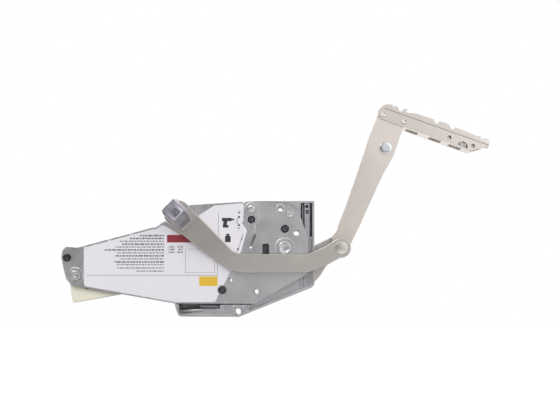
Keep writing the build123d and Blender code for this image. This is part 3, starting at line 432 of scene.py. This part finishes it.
def laid_on(name, outlines, face, material, body="housing"):
    """Lay thin flat outlines of (X, Z) on a face at a depth, as one piece."""
    shape = bmesh.new()
    for points in outlines:
        low = [shape.verts.new(metres(x, face - LAY_SUNK, z)) for x, z in points]
        high = [shape.verts.new(metres(x, face + LAY_PROUD, z)) for x, z in points]
        shape.faces.new(low)
        shape.faces.new(high)
        for index in range(len(points)):
            after = (index + 1) % len(points)
            shape.faces.new((low[index], low[after], high[after], high[index]))
    settle(name, shape, material, body=body)


# Painted shade: a dark line along the rail's fold, under the hooks, where the crevice lies in shadow, in mm along
# the fold and across it
RAIL_START = (90.4, 128.1)
RAIL_TILT = radians(-19.6)
SEAM_SHADE_BLOCK = block(0.5, 113.2, -0.75, -0.2)
seam_shade_points = [
    (RAIL_START[0] + along * cos(RAIL_TILT) - across * sin(RAIL_TILT),
     RAIL_START[1] + along * sin(RAIL_TILT) + across * cos(RAIL_TILT))
    for along, across in SEAM_SHADE_BLOCK]
# The painted shadow line rides with the upper arm
laid_on("rail_seam_shade", [seam_shade_points], front_of("door_rail"), PAINTED_SEAM_SHADE, body="upper_arm")


# Springs: where they start along the thrust line from the carrier's pivot, how deep they lie, and how
# far each lies beside the line
SPRING_START = 8.3
SPRING_DEPTH = 15.25
SPRING_BESIDE = {"upper_spring": 10.4, "lower_spring": -6.2}
SPRING_LENGTH = 135.4
# From the spring's axis to the middle of its wire, and the wire's thickness
COIL_RADIUS = 6.9
WIRE = 2.2
TURNS = 33
# Steps in one turn, sides of the wire, and the angle in degrees up to which these shade round
TURN_STEPS = 26
WIRE_STEPS = 10
WIRE_ROUND = 60
# Share of the turns' spacing that follows an easing, which closes the end turns
EASED = 0.2


def coil(node, beside):
    """Wind a compression spring along the thrust line; the real spring shortens as the thrust slider travels, this
    mesh does not.
    """
    axis = Vector(JOINT["thrust_slide"]["axis"])
    side = Vector((0, 1, 0))
    up = axis.cross(side)
    pivot = JOINT["carrier_tilt"]["pos_m"]
    foot = Vector((pivot[0], -SPRING_DEPTH * MM, pivot[2])) + (axis * SPRING_START + up * beside) * MM
    shape = bmesh.new()
    count = TURNS * TURN_STEPS
    rings = []
    for step in range(count + 1):
        share = step / count
        eased = (1 - cos(pi * share)) / 2
        travel = WIRE / 2 + (SPRING_LENGTH - WIRE) * ((1 - EASED) * share + EASED * eased)
        turn = 2 * pi * step / TURN_STEPS
        out = side * cos(turn) + up * sin(turn)
        centre = foot + (axis * travel + out * COIL_RADIUS) * MM
        bends = [2 * pi * corner / WIRE_STEPS for corner in range(WIRE_STEPS)]
        rings.append([
            shape.verts.new(centre + (out * cos(bend) + axis * sin(bend)) * WIRE / 2 * MM)
            for bend in bends])
    for lower, upper in zip(rings, rings[1:]):
        for corner in range(WIRE_STEPS):
            after = (corner + 1) % WIRE_STEPS
            shape.faces.new((lower[corner], lower[after], upper[after], upper[corner]))
    shape.faces.new(rings[0])
    shape.faces.new(rings[-1])
    piece = settle(f"{node}_wire", shape, MATERIALS[SLOT[node]], node, smooth=WIRE_ROUND)
    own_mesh(piece)


for node_name, spring_beside in SPRING_BESIDE.items():
    coil(node_name, spring_beside)


# Print on the label: plain bars in place of words, blocks and small signs

LABEL_FACE = front_of("label_sheet")
# Rows that stand for lines of words: each row's middle, its left end and its ink
ROWS_RIGHT = -136.5
ROW_HEIGHT = {"ink_dark": 1.7, "ink_grey": 1.45}
ROWS = (
    (-3.1, -161.1, "ink_dark"), (-6.0, -172.9, "ink_dark"), (-8.9, -182.4, "ink_grey"),
    (-11.9, -179.4, "ink_dark"), (-14.8, -186.5, "ink_grey"), (-17.8, -198.4, "ink_dark"),
    (-20.8, -185.3, "ink_grey"), (-23.9, -187.7, "ink_dark"), (-27.0, -181.8, "ink_grey"),
    (-30.2, -187.7, "ink_dark"), (-32.9, -185.3, "ink_grey"), (-36.4, -184.2, "ink_grey"),
    (-39.6, -165.2, "ink_grey"),
)
# Two columns of short rows under the red block: each column's ends and its first row's number
COLUMNS = ((-131.8, -125.6, 20), (-122.6, -117.2, 30))
COLUMN_ROWS = (-14.6, -17.3, -20.2)
COLUMN_HEIGHT = 1.9
# A bar's least width, the most that is added to it, the gaps after a bar and after a word, and the
# least room at the left that takes another bar
BAR_LEAST = 0.55
BAR_MORE = 0.3
BAR_GAP = 0.2
WORD_GAP = 0.75
BAR_ROOM = 0.6
# The lowest bar as a share of the row's height, and how high the word wave stands where a word ends
LOWEST_BAR = 0.78
WORD_END = 0.86
# Steps of uneven waves from row to row and from bar to bar, so that no two rows look alike
WIDTH_WAVE = (12.9, 4.7)
HEIGHT_WAVE = (3.1, 2.3)
WORD_WAVE = (7.7, 1.9)


def wave(steps, row, bar):
    """Return a number from 0 to 1 that strays from row to row and from bar to bar."""
    return abs(sin(row * steps[0] + bar * steps[1]))


def word_bars(left, right, middle, height, row):
    """Return the blocks of one row that stands for a line of words, from its right end."""
    bars = []
    low = middle - height / 2
    at = right
    while at > left + BAR_ROOM:
        width = BAR_LEAST + BAR_MORE * wave(WIDTH_WAVE, row, len(bars))
        tall = height * (LOWEST_BAR + (1 - LOWEST_BAR) * wave(HEIGHT_WAVE, row, len(bars)))
        bars.append(block(max(at - width, left), at, low, low + tall))
        at -= width + BAR_GAP
        if wave(WORD_WAVE, row, len(bars)) > WORD_END:
            at -= WORD_GAP
    return bars


def stroke(points, width):
    """Return the outline of a line of a width through points."""
    left, right = [], []
    for index, point in enumerate(points):
        before = Vector(points[max(index - 1, 0)])
        after = Vector(points[min(index + 1, len(points) - 1)])
        way = (after - before).normalized()
        across = Vector((-way.y, way.x)) * width / 2
        left.append(tuple(Vector(point) + across))
        right.append(tuple(Vector(point) - across))
    return left + right[::-1]


for ink, row_height in ROW_HEIGHT.items():
    bars = []
    for row_number, (row_middle, row_left, row_ink) in enumerate(ROWS, 1):
        if row_ink == ink:
            bars += word_bars(row_left, ROWS_RIGHT, row_middle, row_height, row_number)
    if ink == "ink_grey":
        for row_number, row_middle in enumerate(COLUMN_ROWS):
            for column_left, column_right, first in COLUMNS:
                bars += word_bars(
                    column_left, column_right, row_middle, COLUMN_HEIGHT, first + row_number)
    laid_on(ink.replace("ink", "label_rows"), bars, LABEL_FACE, INKS[ink])

RULES = [
    # Long rule under the rows, its upright end, and an upright rule beside the signs
    block(-215.5, -81.4, -44.15, -43.7), block(-81.6, -81.2, -44.1, -29.2),
    block(-80.6, -80.2, -3.2, 21.4),
    # Frame at the right, open where the lift arm passes over it
    block(-114.4, -84.3, -41.3, -41.0), block(-114.5, -114.2, -41.3, -17.0),
    block(-84.5, -84.2, -41.3, -28.5), block(-114.4, -99.5, -17.1, -16.8),
]
SIGNS = [
    # Cordless drill: body, chuck, handle and battery
    block(-76.8, -66.8, 11.8, 15.1), block(-66.8, -64.2, 12.6, 14.3),
    [(-75.2, 12.0), (-71.0, 12.0), (-71.9, 7.6), (-75.6, 7.6)], block(-75.9, -70.0, 5.1, 7.9),
    # Kitchen weight: body, neck and knob
    block(-73.6, -67.8, -9.9, -3.6), [(-72.4, -3.8), (-69.0, -3.8), (-69.6, -2.4), (-71.8, -2.4)],
    block(-72.6, -68.8, -2.5, -1.3),
    # Turning arrow between plus and minus
    block(-60.4, -57.4, 20.3, 20.9), block(-59.2, -58.6, 19.1, 22.1), block(-61.0, -58.0, 4.2, 4.8),
    stroke([(-59.3, 15.8), (-60.9, 14.0), (-61.5, 11.9), (-61.0, 9.8), (-59.6, 8.0)], 0.55),
    [(-58.0, 17.3), (-60.7, 16.6), (-58.9, 14.4)], [(-57.9, 6.4), (-59.0, 9.2), (-60.9, 7.2)],
    # Slanted scale with its arrow and mark
    stroke([(-54.9, -1.2), (-59.9, -17.0)], 0.45), [(-60.9, -19.6), (-61.0, -16.0), (-59.0, -16.6)],
    block(-56.9, -55.7, -7.0, -5.6),
]
RED = [block(-133.3, -98.0, -10.2, -2.4)]
YELLOW = [block(-100.2, -81.3, -55.0, -45.2)]
for print_name, outlines, ink in (
    ("label_lines", RULES, "ink_grey"), ("label_signs", SIGNS, "ink_dark"),
    ("label_red", RED, "ink_red"), ("label_yellow", YELLOW, "ink_yellow"),
):
    laid_on(print_name, outlines, LABEL_FACE, INKS[ink])

# Each CAD node gets its slot's material, for those that show themselves
for node_name, node_object in frame["nodes"].items():
    node_object.data.materials.clear()
    node_object.data.materials.append(MATERIALS[SLOT[node_name]])


# Light and camera

# The sky's strength as a light, and as the camera and reflections see it
SKY_LIGHT = 0.95
SKY_SEEN = 1.0
GLOW_ALONE = {"Roughness": 0.9, "Base_Color": BLACK, "Emission_Color": WHITE}
FLAG_GLOW = 0.36
# The floor lies below the arms as they hang when the door is closed
FLOOR_LEVEL = -0.275
FLOOR_GLOW = 0.3
CAMERA_PLACE = (-0.017, -0.93, -0.054)
CAMERA_LENS = 56.2
CAMERA_SHIFT = 0.134


def seen_white(tree):
    """Return 1 for the rays of the camera, of reflections and of clear materials."""
    seen = 0.0
    for kind in ("Is Camera Ray", "Is Glossy Ray", "Is Transmission Ray"):
        ray = add(tree, "LightPath", out=kind)
        seen = add(tree, "Math", {0: seen, 1: ray}, operation="ADD", use_clamp=True)
    return seen


def studio_board(name, width, height, place, turn=(0, 0, 0)):
    """Return a flat board, its sizes and place in metres and its turn in degrees."""
    shape = bmesh.new()
    corners = block(-width / 2, width / 2, -height / 2, height / 2)
    shape.faces.new([shape.verts.new((x, y, 0)) for x, y in corners])
    mesh = bpy.data.meshes.new(name)
    shape.to_mesh(mesh)
    shape.free()
    made = bpy.data.objects.new(name, mesh)
    bpy.context.scene.collection.objects.link(made)
    made.location = place
    made.rotation_euler = [radians(angle) for angle in turn]
    return made


def show_in_reflections(made):
    """Leave a board to reflections, out of the camera's view, soft light and shadows."""
    made.visible_camera = False
    made.visible_diffuse = False
    made.visible_shadow = False


def square_light(name, place, size, power):
    """Add a soft square light that looks at the origin."""
    data = bpy.data.lights.new(name, "AREA")
    data.shape = "SQUARE"
    data.size = size
    data.energy = power
    lamp = bpy.data.objects.new(name, data)
    bpy.context.scene.collection.objects.link(lamp)
    lamp.location = place
    lamp.rotation_euler = (-Vector(place)).to_track_quat("-Z", "Y").to_euler()


world = bpy.data.worlds.new("Studio")
bpy.context.scene.world = world
world.use_nodes = True
sky = world.node_tree
background = sky.nodes["Background"]
background.inputs["Color"].default_value = WHITE
sky_glow = add(sky, "Mix", {0: seen_white(sky), 2: SKY_LIGHT, 3: SKY_SEEN}, data_type="FLOAT")
sky.links.new(sky_glow, background.inputs["Strength"])

# A card behind the camera, darker at its left and lower side, is what the front faces reflect
card = studio_board("studio_card", 6.4, 4.4, (-1.6, -1.9, 0.2), (90, 0, 0))
show_in_reflections(card)
card_material, card_tree, card_shader = blank("Grey studio card", **GLOW_ALONE)
card_place = add(card_tree, "TexCoord", out="Object")
card_side = add(card_tree, "MapRange", {
    "Value": add(card_tree, "SeparateXYZ", {"Vector": card_place}, out="X"),
    "From Min": 0.85, "From Max": 2.3, "To Min": 0.0, "To Max": 1.22,
}, interpolation_type="SMOOTHSTEP")
card_lift = add(card_tree, "MapRange", {
    "Value": add(card_tree, "SeparateXYZ", {"Vector": card_place}, out="Y"),
    "From Min": -0.4, "From Max": 0.35, "To Min": 0.25, "To Max": 1.1,
})
card_glow = add(card_tree, "Math", {0: card_side, 1: card_lift}, operation="MULTIPLY")
card_tree.links.new(card_glow, card_shader.inputs["Emission Strength"])
card.data.materials.append(card_material)

# Two grey flags, below and at the right, draw a thin dark line along the edges that face them
flag_material = blank("Dark studio flag", Emission_Strength=FLAG_GLOW, **GLOW_ALONE)[0]
for flag in (
    studio_board("low_flag", 1.0, 0.7, (0.0, -0.05, -0.26)),
    studio_board("right_flag", 0.5, 0.6, (0.42, -0.05, 0.05), (0, 90, 0)),
):
    show_in_reflections(flag)
    flag.data.materials.append(flag_material)

square_light("key", (-0.7, -0.9, 0.9), 0.8, 10)
square_light("fill", (0.9, -0.8, 0.2), 0.9, 2.5)

floor = studio_board("floor", 7.0, 7.0, (0, 0, FLOOR_LEVEL))
floor_material, floor_tree, floor_shader = blank("Pale floor", Roughness=0.9, Emission_Color=WHITE)
floor_seen = seen_white(floor_tree)
floor_colour = add(
    floor_tree, "Mix", {0: floor_seen, 6: linear("#8C8C8E"), 7: linear("#F4F4F4")}, **COLOUR_MIX)
floor_glow = add(floor_tree, "Math", {0: floor_seen, 1: FLOOR_GLOW}, operation="MULTIPLY")
floor_tree.links.new(floor_colour, floor_shader.inputs["Base Color"])
floor_tree.links.new(floor_glow, floor_shader.inputs["Emission Strength"])
floor.data.materials.append(floor_material)

# The camera looks straight at the mechanism's front, and its shift sets the object in the frame
lens = bpy.data.cameras.new("camera")
lens.sensor_width = 36
lens.lens = CAMERA_LENS
lens.shift_y = CAMERA_SHIFT
camera = bpy.data.objects.new("camera", lens)
bpy.context.scene.collection.objects.link(camera)
camera.location = CAMERA_PLACE
camera.rotation_euler = (radians(90), 0, 0)
bpy.context.scene.camera = camera
bpy.context.scene.view_settings.view_transform = "Standard"
